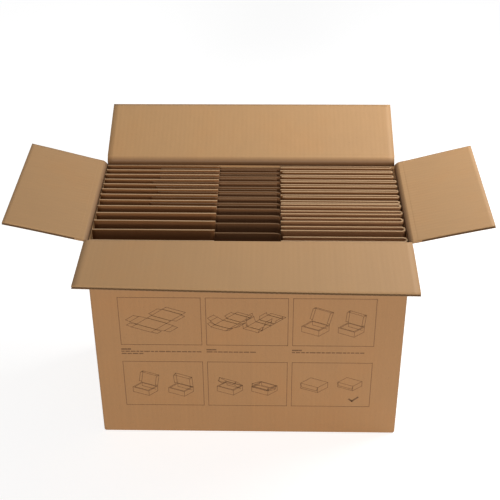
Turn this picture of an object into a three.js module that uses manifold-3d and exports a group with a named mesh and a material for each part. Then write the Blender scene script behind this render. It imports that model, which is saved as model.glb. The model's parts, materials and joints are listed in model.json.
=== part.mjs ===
// A slotted corrugated shipping box, open at the top, packed with folded mailer blanks that stand on edge.
// Millimetres. +Z is up, +X runs along the long walls and +Y points from the front wall to the back wall.
// The origin lies under the middle of the box, on the surface that it stands on.
import * as THREE from "three";
import { mergeGeometries, mergeVertices } from "three/addons/utils/BufferGeometryUtils.js";
import Module from "manifold-3d";

const wasm = await Module();
wasm.setup();

// The box
const BOX_WIDTH = 520; // outside, along X
const BOX_DEPTH = 264; // outside, along Y
const CREASE_HEIGHT = 410; // fold line of the long top flaps above the floor
const BOARD = 4; // C-flute board
const LINER = 0.5; // each facing of the board
const FLUTE_PITCH = 8; // crest to crest of the fluted medium
const MEDIUM_SIDE_LAND = 0.3; // medium left beside the foot of a flute
const MEDIUM_TIP_LAND = 0.25; // medium left over the tip of a flute
const SEAM_GAP = 1; // between the two long flaps where they meet
const SHUT_GAP = 0.3; // between boards that lie on each other when the top is shut
const CREASE_RELIEF = 0.8; // from a flap's fold line to its root
const CREASE_WIDTH = 10; // crushed board beside a fold line, without flutes
const CREASE_BEVEL = 2.5; // inner edge of a flap's root, pressed off by the fold
const GLUE_TAB = 35; // lap of the makers' joint
const GLUE_TAB_INSET = 6; // tab's ends from the fold lines
const RAW_EDGE_SETBACK = 0.5; // cut edge at the makers' joint, back from the wall beside it
const GLUE_BITE = 0.2; // how far glued boards press into each other
const FOLD_GRIP = 1; // how far a rounded fold reaches into the board on either side of it
const SLOT_RELIEF = 0.5; // board cut back where the slots between the flaps end
const SHUT_SIDE_PLAY = 1; // short flap's ends from the long walls when shut
const FRONT_FLAP_SETBACK = 1.5; // front flap's ends from the side walls' faces
const BACK_FLAP_SETBACK = 4.3; // the same for the back flap, whose slots are cut wider

// The flaps as they stand, in degrees above level
const FRONT_FLAP_RISE = 1.3;
const BACK_FLAP_RISE = 20.5;
const LEFT_FLAP_RISE = 14;
const RIGHT_FLAP_RISE = 13.8;

// The tape over the bottom seam
const TAPE = 0.3;
const TAPE_WIDTH = 50;
const TAPE_END_HEIGHT = 62; // how far it turns up each side wall

// The mailer blanks
const MAILER_COUNT = 13;
const MAILER_BOARD = 3; // B-flute board
const MAILER_PLAY = 0.5; // ends and back of the stack from the box
const HEADROOM = 1.4; // under the shut side flaps
const LID_LENGTH = 201; // left panel
const SPINE_LENGTH = 107; // middle panel
const SPINE_RECESS = 6; // its ends, in from those of the panels beside it
const FRONT_ROOM = 14; // front blank's middle from the front wall
const LOOSENING = 1.92; // last pitch of the stack over its first
const LOOSENING_POWER = 3.2; // how late the pitch widens toward the front
const TURNED_FROM = 8; // blanks from this one on have their front panel folded to the back
const REAR_FOLD_SHARE = 0.34; // fold's spacing as a share of the pitch, in the rear blanks
const TURNED_FOLD_SHARE = 0.38; // the same in the turned blanks
const FOLD_SEGMENTS = 8;

// The printed frames on the front wall
const INK = 0.2;
const INK_LINE = 1.2;
const FRAME_WIDTH = 137.5;
const FRAME_HEIGHT = 100;
const FRAME_COLUMN_PITCH = 144.8;
const FRAME_ROW_PITCH = 136.2;
const FRAMES_MIDDLE_X = -2;
const FRAMES_MIDDLE_HEIGHT = 182.2;
const FRAME_COLUMNS = 3;
const FRAME_ROWS = 2;

const innerX = BOX_WIDTH / 2 - BOARD;
const innerY = BOX_DEPTH / 2 - BOARD;
const jointX = innerX - BOARD + GLUE_BITE; // fold of the glue tab
const sideCrease = CREASE_HEIGHT - BOARD - SHUT_GAP;
const longWallTop = CREASE_HEIGHT - BOARD - SHUT_GAP;
const sideWallTop = sideCrease - BOARD - SHUT_GAP;
const longFlapFloor = TAPE + BOARD;
const shortFlapFloor = longFlapFloor + BOARD - GLUE_BITE;
const flapReach = BOX_DEPTH / 2 - SEAM_GAP / 2;

const kraft = new THREE.MeshStandardMaterial({ color: 0xb58d63, roughness: 0.9, metalness: 0 });
const mailerKraft = new THREE.MeshStandardMaterial({ color: 0xa97f56, roughness: 0.9, metalness: 0 });
const tapeFilm = new THREE.MeshStandardMaterial({ color: 0xc3a677, roughness: 0.3, metalness: 0 });
const brownInk = new THREE.MeshStandardMaterial({ color: 0x5a3d28, roughness: 0.8, metalness: 0 });

const X = new THREE.Vector3(1, 0, 0);
const Y = new THREE.Vector3(0, 1, 0);
const Z = new THREE.Vector3(0, 0, 1);

// A closed geometry as a solid that can be joined and cut.
function solidOf(geometry) {
  const bare = geometry.index ? geometry.toNonIndexed() : geometry.clone();
  bare.deleteAttribute("normal");
  bare.deleteAttribute("uv");
  const merged = mergeVertices(bare);
  return new wasm.Manifold(
    new wasm.Mesh({
      numProp: 3,
      vertProperties: merged.getAttribute("position").array,
      triVerts: new Uint32Array(merged.index.array),
    }),
  );
}

function geometryOf(solid) {
  const { vertProperties, triVerts } = solid.getMesh();
  const indexed = new THREE.BufferGeometry()
    .setAttribute("position", new THREE.BufferAttribute(vertProperties, 3))
    .setIndex(new THREE.BufferAttribute(triVerts, 1));
  const faceted = indexed.toNonIndexed();
  faceted.computeVertexNormals();
  return faceted;
}

function joined(geometries) {
  const solids = geometries.map(solidOf);
  return solids.reduce((whole, part) => whole.add(part));
}

function block(low, high) {
  const size = high.map((value, axis) => value - low[axis]);
  return new THREE.BoxGeometry(...size).translate(...low.map((value, axis) => value + size[axis] / 2));
}

function extruded(shape, length) {
  return new THREE.ExtrudeGeometry(shape, {
    depth: length,
    bevelEnabled: false,
    curveSegments: FOLD_SEGMENTS,
  });
}

function polygon(points) {
  return new THREE.Shape(points.map(([a, b]) => new THREE.Vector2(a, b)));
}

function meshOf(name, geometry, material) {
  const mesh = new THREE.Mesh(geometry, material);
  mesh.name = name;
  return mesh;
}

// Section of a wall down to its bottom fold. Its first axis points into the box from the wall's inner face
// and its second points up from the bottom flap's inner face. The outer facing carries on past the crushed
// top up to the flap's fold line, and the board keeps its thickness round the bottom fold.
function wallSection(wallHeight, facingHeight) {
  const shape = new THREE.Shape();
  shape.moveTo(0, 0);
  shape.lineTo(0, wallHeight);
  shape.lineTo(-BOARD + LINER, wallHeight);
  shape.lineTo(-BOARD + LINER, facingHeight);
  shape.lineTo(-BOARD, facingHeight);
  shape.lineTo(-BOARD, 0);
  shape.absarc(0, 0, BOARD, Math.PI, 1.5 * Math.PI, false);
  return shape;
}

// Section of a bottom flap, in the same axes, with a tongue of board inside the fold.
function bottomFlapSection() {
  return polygon([
    [0, 0],
    [-FOLD_GRIP, -FOLD_GRIP],
    [-FOLD_GRIP, FOLD_GRIP - BOARD],
    [0, -BOARD],
    [flapReach - BOARD, -BOARD],
    [flapReach - BOARD, 0],
  ]);
}

// A section carried along a wall whose inner face lies at a distance from the middle of the box.
function carried(section, inward, distance, ends, floor) {
  const along = new THREE.Vector3().crossVectors(inward, Z);
  return extruded(section, ends[1] - ends[0])
    .translate(0, 0, ends[0])
    .applyMatrix4(new THREE.Matrix4().makeBasis(inward, Z, along))
    .translate(-inward.x * distance, -inward.y * distance, floor);
}

// The rounded vertical fold between a long wall and a side wall, round the inner corner at x, y. The signs
// point out of the box.
function verticalFold(x, y, signX, signY) {
  const outline = [
    [-FOLD_GRIP, 0],
    [0, 0],
    [0, -FOLD_GRIP],
    [BOARD, -FOLD_GRIP],
  ];
  for (let step = 0; step <= FOLD_SEGMENTS; step++) {
    const angle = (step / FOLD_SEGMENTS) * (Math.PI / 2);
    outline.push([BOARD * Math.cos(angle), BOARD * Math.sin(angle)]);
  }
  outline.push([-FOLD_GRIP, BOARD]);
  const section = polygon(outline.map(([a, b]) => [a * signX, b * signY]));
  const low = shortFlapFloor + SLOT_RELIEF;
  const high = sideWallTop - SLOT_RELIEF;
  return extruded(section, high - low).translate(x, y, low);
}

function longWall(inward, ends) {
  const section = wallSection(longWallTop - longFlapFloor, CREASE_HEIGHT - SHUT_GAP - longFlapFloor);
  return [
    carried(section, inward, innerY, ends, longFlapFloor),
    carried(bottomFlapSection(), inward, innerY, ends, longFlapFloor),
  ];
}

function sideWall(inward, ends) {
  const section = wallSection(sideWallTop - shortFlapFloor, sideCrease - SHUT_GAP - shortFlapFloor);
  const flapEnd = innerY - SHUT_SIDE_PLAY;
  return [
    carried(section, inward, innerX, ends, shortFlapFloor),
    carried(bottomFlapSection(), inward, innerX, [-flapEnd, flapEnd], shortFlapFloor),
  ];
}

// The makers' joint at the rear right corner: a tab folded in from the back wall is glued inside the right
// wall, whose cut edge shows beside the back wall.
function glueTab() {
  return block(
    [jointX, innerY - GLUE_TAB, shortFlapFloor + GLUE_TAB_INSET],
    [jointX + BOARD, innerY, sideWallTop - GLUE_TAB_INSET],
  );
}

function cartonBody() {
  const longEnd = innerX - SLOT_RELIEF;
  const sideEnd = innerY - SLOT_RELIEF;
  const cutEdge = innerY + BOARD - RAW_EDGE_SETBACK;
  const pieces = [
    ...longWall(Y.clone(), [-longEnd, longEnd]),
    ...longWall(Y.clone().negate(), [SLOT_RELIEF - jointX, longEnd]),
    ...sideWall(X.clone(), [-sideEnd, sideEnd]),
    ...sideWall(X.clone().negate(), [-sideEnd, cutEdge]),
    verticalFold(-innerX, -innerY, -1, -1),
    verticalFold(innerX, -innerY, 1, -1),
    verticalFold(-innerX, innerY, -1, 1),
    verticalFold(jointX, innerY, 1, 1),
    glueTab(),
  ];
  return meshOf("carton_body", geometryOf(joined(pieces)), kraft);
}

// The hollows on either side of the fluted medium, as prisms that run from the crushed board to past the
// free edge.
function fluteHollows(width) {
  const halfFoot = FLUTE_PITCH / 2 - MEDIUM_SIDE_LAND;
  const low = LINER;
  const high = BOARD - LINER;
  const halfFlutes = 2 * Math.floor((width / 2 - LINER - halfFoot) / FLUTE_PITCH);
  const hollows = [];
  for (let step = -halfFlutes; step <= halfFlutes; step++) {
    const middle = (step * FLUTE_PITCH) / 2;
    const stands = step % 2 === 0;
    const foot = stands ? low : high;
    const tip = stands ? high - MEDIUM_TIP_LAND : low + MEDIUM_TIP_LAND;
    const section = polygon([
      [middle - halfFoot, foot],
      [middle + halfFoot, foot],
      [middle, tip],
    ]);
    hollows.push(extruded(section, flapReach));
  }
  return mergeGeometries(hollows)
    .rotateX(Math.PI / 2)
    .translate(0, flapReach + CREASE_WIDTH, 0);
}

// A top flap in its own frame: X along the fold line, Y out from it, Z up from the flap's outer face.
function flap(width) {
  const section = polygon([
    [CREASE_RELIEF, 0],
    [flapReach, 0],
    [flapReach, BOARD],
    [CREASE_RELIEF + CREASE_BEVEL, BOARD],
    [CREASE_RELIEF, BOARD - CREASE_BEVEL],
  ]);
  const board = extruded(section, width)
    .translate(0, 0, -width / 2)
    .applyMatrix4(new THREE.Matrix4().makeBasis(Y, Z, X));
  return geometryOf(solidOf(board).subtract(solidOf(fluteHollows(width))));
}

// A flap on its fold line. Turn 0 points it to the back, and its rise tips its free edge up.
function hungFlap(name, width, turn, foldLine, rise) {
  const hinge = new THREE.Group();
  hinge.position.set(...foldLine);
  hinge.rotation.z = turn;
  const leaf = new THREE.Group();
  leaf.rotation.x = THREE.MathUtils.degToRad(rise);
  leaf.add(meshOf(name, flap(width), kraft));
  hinge.add(leaf);
  return hinge;
}

function topFlaps() {
  const outX = BOX_WIDTH / 2;
  const outY = BOX_DEPTH / 2;
  const frontWidth = BOX_WIDTH - 2 * FRONT_FLAP_SETBACK;
  const backWidth = BOX_WIDTH - 2 * BACK_FLAP_SETBACK;
  const sideWidth = 2 * (innerY - SHUT_SIDE_PLAY);
  const quarter = Math.PI / 2;
  return [
    hungFlap("front_flap", frontWidth, 2 * quarter, [0, -outY, CREASE_HEIGHT], FRONT_FLAP_RISE),
    hungFlap("back_flap", backWidth, 0, [0, outY, CREASE_HEIGHT], BACK_FLAP_RISE),
    hungFlap("left_flap", sideWidth, quarter, [-outX, 0, sideCrease], LEFT_FLAP_RISE),
    hungFlap("right_flap", sideWidth, -quarter, [outX, 0, sideCrease], RIGHT_FLAP_RISE),
  ];
}

// The strip over the bottom seam, turned up both side walls.
function bottomTape() {
  const outX = BOX_WIDTH / 2;
  const section = polygon([
    [-outX - TAPE, 0],
    [outX + TAPE, 0],
    [outX + TAPE, TAPE_END_HEIGHT],
    [outX, TAPE_END_HEIGHT],
    [outX, TAPE],
    [-outX, TAPE],
    [-outX, TAPE_END_HEIGHT],
    [-outX - TAPE, TAPE_END_HEIGHT],
  ]);
  const strip = extruded(section, TAPE_WIDTH)
    .rotateX(Math.PI / 2)
    .translate(0, TAPE_WIDTH / 2, 0);
  return meshOf("bottom_tape", strip, tapeFilm);
}

// Plan of a folded blank: its lid, spine and base in one straight run, and its front panel turned back
// over the base. `side` is -1 where that panel lies in front of the base and 1 where it lies behind.
function blankPlan(left, right, spacing, side) {
  const half = MAILER_BOARD / 2;
  const outer = spacing / 2 + half;
  const inner = spacing / 2 - half;
  const turn = right - outer;
  const leafEnd = left + LID_LENGTH + SPINE_LENGTH;
  const shape = new THREE.Shape();
  shape.moveTo(left, -half);
  shape.lineTo(turn, -half);
  shape.absarc(turn, spacing / 2, outer, -Math.PI / 2, Math.PI / 2, false);
  shape.lineTo(leafEnd, spacing + half);
  shape.lineTo(leafEnd, spacing - half);
  shape.lineTo(turn, spacing - half);
  shape.absarc(turn, spacing / 2, inner, Math.PI / 2, -Math.PI / 2, true);
  shape.lineTo(left, half);
  const { shape: outline } = shape.extractPoints(FOLD_SEGMENTS);
  return polygon(outline.map((point) => [point.x, side * point.y]));
}

function mailerBlank(number, y, pitch) {
  const left = -innerX + MAILER_PLAY;
  const besideTab = y + MAILER_BOARD > innerY - GLUE_TAB;
  const right = (besideTab ? jointX : innerX) - MAILER_PLAY;
  const height = sideCrease - BOARD - HEADROOM - shortFlapFloor;
  const turned = number > TURNED_FROM;
  const spacing = pitch * (turned ? TURNED_FOLD_SHARE : REAR_FOLD_SHARE);
  const sheet = solidOf(extruded(blankPlan(left, right, spacing, turned ? 1 : -1), height));
  const spineLeft = left + LID_LENGTH;
  const spineRight = spineLeft + SPINE_LENGTH;
  const reach = MAILER_BOARD;
  const upperCut = block([spineLeft, -reach, height - SPINE_RECESS], [spineRight, reach, height + 1]);
  const lowerCut = block([spineLeft, -reach, -1], [spineRight, reach, SPINE_RECESS]);
  const cut = sheet.subtract(solidOf(upperCut)).subtract(solidOf(lowerCut));
  const name = "mailer_" + String(number).padStart(2, "0");
  const mesh = meshOf(name, geometryOf(cut), mailerKraft);
  mesh.position.set(0, y, shortFlapFloor);
  return mesh;
}

// The stack loosens from its tight back to its front: each pitch exceeds the first by a power of its place.
function mailerStack() {
  const backY = innerY - MAILER_PLAY - MAILER_BOARD / 2;
  const frontY = -innerY + FRONT_ROOM;
  const pitches = MAILER_COUNT - 1;
  const widening = (index) => {
    const share = Math.min(index / (pitches - 1), 1);
    return 1 + (LOOSENING - 1) * Math.pow(share, LOOSENING_POWER);
  };
  let total = 0;
  for (let index = 0; index < pitches; index++) total += widening(index);
  const firstPitch = (backY - frontY) / total;
  const stack = new THREE.Group();
  let y = backY;
  for (let index = 0; index < MAILER_COUNT; index++) {
    const pitch = firstPitch * widening(index);
    stack.add(mailerBlank(index + 1, y, pitch));
    y -= pitch;
  }
  return stack;
}

// Six plain frames in two rows, which hold the folding pictures.
function printedFrames() {
  const frames = new THREE.Group();
  const halfWidth = FRAME_WIDTH / 2;
  const halfHeight = FRAME_HEIGHT / 2;
  for (let row = 0; row < FRAME_ROWS; row++) {
    for (let column = 0; column < FRAME_COLUMNS; column++) {
      const frame = polygon([
        [-halfWidth, -halfHeight],
        [halfWidth, -halfHeight],
        [halfWidth, halfHeight],
        [-halfWidth, halfHeight],
      ]);
      const field = new THREE.Path();
      field.moveTo(-halfWidth + INK_LINE, -halfHeight + INK_LINE);
      field.lineTo(-halfWidth + INK_LINE, halfHeight - INK_LINE);
      field.lineTo(halfWidth - INK_LINE, halfHeight - INK_LINE);
      field.lineTo(halfWidth - INK_LINE, -halfHeight + INK_LINE);
      frame.holes.push(field);
      const number = row * FRAME_COLUMNS + column + 1;
      const mesh = meshOf("printed_frame_" + number, extruded(frame, INK), brownInk);
      mesh.rotation.x = Math.PI / 2;
      mesh.position.set(
        FRAMES_MIDDLE_X + (column - (FRAME_COLUMNS - 1) / 2) * FRAME_COLUMN_PITCH,
        -BOX_DEPTH / 2,
        FRAMES_MIDDLE_HEIGHT - (row - (FRAME_ROWS - 1) / 2) * FRAME_ROW_PITCH,
      );
      frames.add(mesh);
    }
  }
  return frames;
}

const shippingBox = new THREE.Group();
shippingBox.add(cartonBody(), ...topFlaps(), bottomTape(), mailerStack(), printedFrames());

export default shippingBox;
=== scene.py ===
"""Looks of an open corrugated shipping box that is packed with folded mailer blanks on edge."""

from __future__ import annotations

import json
import logging
import math
from dataclasses import dataclass, field
from enum import Enum
from functools import partial
from typing import Callable, Sequence, Union

import bpy
import numpy as np
from mathutils import Matrix, Vector


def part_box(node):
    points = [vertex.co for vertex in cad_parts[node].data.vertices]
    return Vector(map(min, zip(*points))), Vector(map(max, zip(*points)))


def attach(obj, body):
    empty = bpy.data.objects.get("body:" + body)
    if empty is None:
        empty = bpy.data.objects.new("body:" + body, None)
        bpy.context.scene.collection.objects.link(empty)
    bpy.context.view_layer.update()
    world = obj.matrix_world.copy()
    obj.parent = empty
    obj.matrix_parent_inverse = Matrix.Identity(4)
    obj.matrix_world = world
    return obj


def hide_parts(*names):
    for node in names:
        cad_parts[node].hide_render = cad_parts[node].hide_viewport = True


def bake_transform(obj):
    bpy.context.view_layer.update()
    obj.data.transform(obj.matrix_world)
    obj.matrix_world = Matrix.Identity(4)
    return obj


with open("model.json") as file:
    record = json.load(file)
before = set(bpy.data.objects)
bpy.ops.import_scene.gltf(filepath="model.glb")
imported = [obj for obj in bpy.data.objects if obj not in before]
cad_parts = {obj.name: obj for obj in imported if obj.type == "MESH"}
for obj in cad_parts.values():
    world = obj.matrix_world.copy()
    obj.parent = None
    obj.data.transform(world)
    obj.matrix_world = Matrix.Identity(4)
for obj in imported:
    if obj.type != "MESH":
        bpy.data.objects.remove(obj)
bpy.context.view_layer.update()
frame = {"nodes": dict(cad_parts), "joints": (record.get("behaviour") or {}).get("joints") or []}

LOG = logging.getLogger("shipping_box")

MM = 0.001
BOARD = 4.0 * MM
LINER = 0.5 * MM
MEDIUM = 0.28 * MM
FLUTE_PITCH = 8.0 * MM
SEAM_GAP = 1.0 * MM
MAILER_BOARD = 3.0 * MM
MAILER_FLUTE_PITCH = 6.4 * MM

Colour = tuple[float, float, float]
Grid = np.ndarray
Inputs = dict[object, object]
Place = tuple[float, float]
Material = bpy.types.Material
Piece = bpy.types.Object

EVEN: Colour = (1.0, 1.0, 1.0)
WARMTH: Colour = (1.0, 0.965, 0.92)


class Part(Enum):
    """Which side of a board a face belongs to, in the order of a piece's materials."""

    UPPER = 0
    LOWER = 1
    RIM = 2
    # Faces darkened by painted shade: inside the flutes, and a mailer's set-in spine and inner
    # leaf.
    HOLLOW = 3
    # Edges darkened by painted shade, where a mailer's panel is set in.
    RECESS_SHADE_RIM = 4


# Shaders


def operator(operation: str, reflected: bool = False) -> Callable[[Shade, Value], Shade]:
    """An arithmetic method of Shade that adds a Math node.

    Args:
        operation: the node's operation.
        reflected: whether the other value comes first.

    Returns:
        The method.
    """
    if reflected:
        return lambda shade, other: shade.graph.math(operation, other, shade)
    return lambda shade, other: shade.graph.math(operation, shade, other)


class Shade:
    """A shader socket with arithmetic: an expression on it adds the Math nodes."""

    def __init__(self, graph: ShaderGraph, socket: bpy.types.NodeSocket) -> None:
        """Keep the graph and the socket."""
        self.graph = graph
        self.socket = socket

    __add__, __radd__ = operator("ADD"), operator("ADD", True)
    __sub__, __rsub__ = operator("SUBTRACT"), operator("SUBTRACT", True)
    __mul__, __rmul__ = operator("MULTIPLY"), operator("MULTIPLY", True)


Value = Union[Shade, float]


class ShaderGraph:
    """A material, or the world, and the nodes that make it."""

    NOISE_ROUGHNESS = 0.6

    def __init__(self, owner: bpy.types.ID) -> None:
        """Start the owner's nodes from none.

        Args:
            owner: the material or the world.
        """
        owner.use_nodes = True
        owner.node_tree.nodes.clear()
        self.owner = owner
        self.tree = owner.node_tree

    @classmethod
    def named(cls, name: str) -> ShaderGraph:
        """The graph of a new material."""
        return cls(bpy.data.materials.new(name))

    def node(self, kind: str, inputs: Inputs | None = None, **settings: object) -> bpy.types.Node:
        """Add a node of any kind.

        Args:
            kind: the node's type, without the words that all of them share.
            inputs: a value or a link for each named or numbered socket.
            settings: its properties, set first.

        Returns:
            The node.
        """
        made = self.tree.nodes.new(f"ShaderNode{kind}")
        for key, value in settings.items():
            setattr(made, key, value)
        for key, value in (inputs or {}).items():
            if isinstance(value, Shade):
                self.tree.links.new(value.socket, made.inputs[key])
            else:
                made.inputs[key].default_value = value
        return made

    def shade(
        self, kind: str, inputs: Inputs | None = None, key: object = 0, **settings: object
    ) -> Shade:
        """Add a node in the same way and take its output of that name or number."""
        return Shade(self, self.node(kind, inputs, **settings).outputs[key])

    def math(self, operation: str, a: Value, b: Value = 0.0, clamp: bool = False) -> Shade:
        """A Math node's result, held between 0 and 1 if clamped."""
        return self.shade("Math", {0: a, 1: b}, operation=operation, use_clamp=clamp)

    def mix(self, share: Value, a: object, b: object, blend: str = "MIX") -> Shade:
        """A colour between two, a at share 0 and b at share 1."""
        inputs = {0: share, 6: a, 7: b}
        return self.shade("Mix", inputs, 2, data_type="RGBA", blend_type=blend)

    def toned(self, colour: object, tone: Value) -> Shade:
        """A colour times a tone."""
        return self.shade("VectorMath", {0: colour, "Scale": tone}, operation="SCALE")

    def split(self, vector: Shade) -> tuple[Shade, Shade, Shade]:
        """A vector's X, Y and Z."""
        parts = self.node("SeparateXYZ", {0: vector})
        return tuple(Shade(self, parts.outputs[axis]) for axis in range(3))

    def place(self) -> Shade:
        """The place on the object as a vector."""
        return self.shade("TexCoord", key="Object")

    def facing_x(self) -> Shade:
        """The size of the surface normal's X."""
        return self.math("ABSOLUTE", self.split(self.shade("TexCoord", key="Normal"))[0])

    def attribute(self, name: str) -> Shade:
        """A value that the mesh holds at each point."""
        return self.shade("Attribute", key="Fac", attribute_name=name)

    def noise(self, place: Shade, scale: float, detail: float, stretch: Colour) -> Shade:
        """Noise about one half, drawn out by a stretch of each axis.

        Args:
            place: the vector it is read at.
            scale: cells in a metre.
            detail: octaves.
            stretch: how much finer it is along each axis.

        Returns:
            A value from 0 to 1.
        """
        mapped = self.shade("Mapping", {0: place, "Scale": stretch})
        inputs = {"Vector": mapped, "Scale": scale, "Detail": detail}
        inputs["Roughness"] = self.NOISE_ROUGHNESS
        return self.shade("TexNoise", inputs)

    def step(self, value: Shade, low: float, high: float) -> Shade:
        """A smooth rise from 0 at low to 1 at high."""
        inputs = {"Value": value, "From Min": low, "From Max": high}
        return self.shade("MapRange", inputs, interpolation_type="SMOOTHSTEP")

    def close(self, shader: Shade) -> Material:
        """Put a shader on the material's surface."""
        self.node("OutputMaterial", {"Surface": shader})
        return self.owner

    def finish(
        self,
        colour: object,
        roughness: Value,
        specular: float,
        height: Shade | None = None,
        relief: float = 0.0,
    ) -> Material:
        """Close the graph with a Principled shader.

        Args:
            colour: base colour.
            roughness: roughness.
            specular: level of the mirrored light.
            height: surface height in units of relief.
            relief: metres that a height of 1 stands for.

        Returns:
            The material.
        """
        inputs = {"Base Color": colour, "Roughness": roughness, "Specular IOR Level": specular}
        if height is not None:
            inputs["Normal"] = self.shade("Bump", {"Height": height, "Distance": relief})
        return self.close(self.shade("BsdfPrincipled", inputs))


def rgba(colour: Colour) -> tuple[float, float, float, float]:
    """A colour with full alpha."""
    return (*colour, 1.0)


class Flutes(Enum):
    """The axis that a board's flutes run along, with how much finer its streaks are on each."""

    X = (0.02, 1.0, 1.0)
    Y = (1.0, 0.02, 1.0)
    Z = (1.0, 1.0, 0.02)


@dataclass(frozen=True)
class KraftLiner:
    """The uncoated brown facing of a corrugated board.

    Fibre clouds, short fibres, dark flecks, streaks and washboard lines over the flutes. Where the
    board is creased, the mesh's fold value turns the colour towards a dark one: painted shade in
    the crease. A mailer's board is darker below the part that sticks out of the pack: painted shade
    of the gaps between the blanks. Each noise is given by its cells in a metre, its octaves and its
    stretch, and each tone by how much it changes the brightness.
    """

    name: str
    colour: Colour
    flutes: Flutes
    pitch: float = FLUTE_PITCH
    inner: Colour | None = None
    # Colour of the painted shade in a crease, mixed in by the mesh's fold value.
    crease_shade_colour: Colour | None = None
    specular: float = 0.5
    # Painted shade: how much darker a face is below the top of the pack.
    depth_shade: float = 0.0

    CLOUDS = (9.0, 4.0, EVEN)
    STREAKS = (95.0, 3.0)
    FIBRES = (520.0, 3.0, (1.0, 1.0, 0.35))
    FLECKS = (330.0, 1.0, (1.0, 1.0, 0.6))
    FLECK_EDGE = (0.71, 0.78)
    WARM_EDGE = (0.45, 0.75)
    DEPTH_SHADE_EDGE = (2.0 * MM, 14.0 * MM)
    CLOUD_TONE = 0.10
    STREAK_TONE = 0.10
    FIBRE_TONE = 0.14
    WAVE_TONE = 0.007
    FLECK_TONE = 0.09
    WAVE_FLOOR = 0.4
    WAVE_HEIGHT = 0.3
    STREAK_HEIGHT = 0.5
    FIBRE_HEIGHT = 0.35
    SIDE_EDGE = (0.4, 0.6)
    ROUGHNESS = 0.64
    FIBRE_ROUGHNESS = 0.12
    RELIEF = 0.10 * MM

    def material(self) -> Material:
        """Build the liner's material.

        Returns:
            The material.
        """
        graph = ShaderGraph.named(self.name)
        place = graph.place()
        x, y, z = graph.split(place)
        clouds = graph.noise(place, *self.CLOUDS)
        streaks = graph.noise(place, *self.STREAKS, self.flutes.value)
        fibres = graph.noise(place, *self.FIBRES)
        flecks = graph.step(graph.noise(place, *self.FLECKS), *self.FLECK_EDGE)
        waves = self.waves(graph, x, y) * (self.WAVE_FLOOR + clouds)
        tone = 1.0 + (clouds - 0.5) * self.CLOUD_TONE + (fibres - 0.5) * self.FIBRE_TONE
        tone = tone + (streaks - 0.5) * self.STREAK_TONE + waves * self.WAVE_TONE
        tone = tone - flecks * self.FLECK_TONE
        # Painted shade: the faces darken with depth below the top of the first mailer.
        if self.depth_shade:
            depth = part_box("mailer_01")[1].z - z
            tone = tone * (1.0 - graph.step(depth, *self.DEPTH_SHADE_EDGE) * self.depth_shade)
        base: object = rgba(self.colour)
        # Painted shade in the crease: the fold value mixes in its dark colour.
        if self.crease_shade_colour is not None:
            base = graph.mix(graph.attribute("fold"), base, rgba(self.crease_shade_colour))
        if self.inner is not None:
            base = graph.mix(self.inside(graph, x, y, z), base, rgba(self.inner))
        warm = graph.mix(graph.step(clouds, *self.WARM_EDGE), rgba(EVEN), rgba(WARMTH))
        colour = graph.toned(graph.mix(1.0, base, warm, "MULTIPLY"), tone)
        height = waves * self.WAVE_HEIGHT + streaks * self.STREAK_HEIGHT
        height = height + fibres * self.FIBRE_HEIGHT
        roughness = self.ROUGHNESS + (fibres - 0.5) * self.FIBRE_ROUGHNESS
        return graph.finish(colour, roughness, self.specular, height, self.RELIEF)

    def waves(self, graph: ShaderGraph, x: Shade, y: Shade) -> Shade:
        """Washboard lines: the sine of the place across the flutes.

        Args:
            graph: the material's graph.
            x: place along X.
            y: place along Y.

        Returns:
            A value from -1 to 1.
        """
        turns = 2 * math.pi / self.pitch
        along_x, along_y = (graph.math("SINE", axis * turns) for axis in (x, y))
        if self.flutes is Flutes.Y:
            return along_x
        if self.flutes is Flutes.X:
            return along_y
        side = graph.step(graph.facing_x(), *self.SIDE_EDGE)
        return along_x * (1.0 - side) + along_y * side

    def inside(self, graph: ShaderGraph, x: Shade, y: Shade, z: Shade) -> Shade:
        """Which faces are inside the box.

        Args:
            graph: the material's graph.
            x: place along X.
            y: place along Y.
            z: place along Z.

        Returns:
            1 on the faces inside and 0 on those outside.
        """
        low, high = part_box("carton_body")
        half = BOARD / 2
        in_x, in_y = (
            graph.math("LESS_THAN", graph.math("ABSOLUTE", axis), end - half)
            for axis, end in ((x, high.x), (y, high.y))
        )
        return in_x * in_y * graph.math("GREATER_THAN", z, low.z + half)


@dataclass(frozen=True)
class CutEdge:
    """The cut edge of a board: paler torn fibre, with painted shade in stripes where the flutes
    open.
    """

    name: str
    colour: Colour
    pitch: float
    # How dark the painted shade of the flutes' openings is.
    hole_shade: float

    GRAIN = (900.0, 3.0, EVEN)
    GRAIN_TONE = 0.35
    HOLE_SHADE_EDGE = (0.1, 0.9)
    ROUGHNESS = 0.95
    SPECULAR = 0.15
    RELIEF = 0.15 * MM

    def material(self) -> Material:
        """Build the edge's material.

        Returns:
            The material.
        """
        graph = ShaderGraph.named(self.name)
        place = graph.place()
        x, y, _ = graph.split(place)
        grain = graph.noise(place, *self.GRAIN)
        # Painted shade: dark stripes at the flute pitch where the flutes open on the edge.
        waves = graph.math("SINE", (x + y) * (2 * math.pi / self.pitch))
        hole_shade = graph.step(waves, *self.HOLE_SHADE_EDGE) * self.hole_shade
        colour = graph.toned(self.colour, 1.0 + (grain - 0.5) * self.GRAIN_TONE - hole_shade)
        return graph.finish(colour, self.ROUGHNESS, self.SPECULAR, grain, self.RELIEF)


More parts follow.
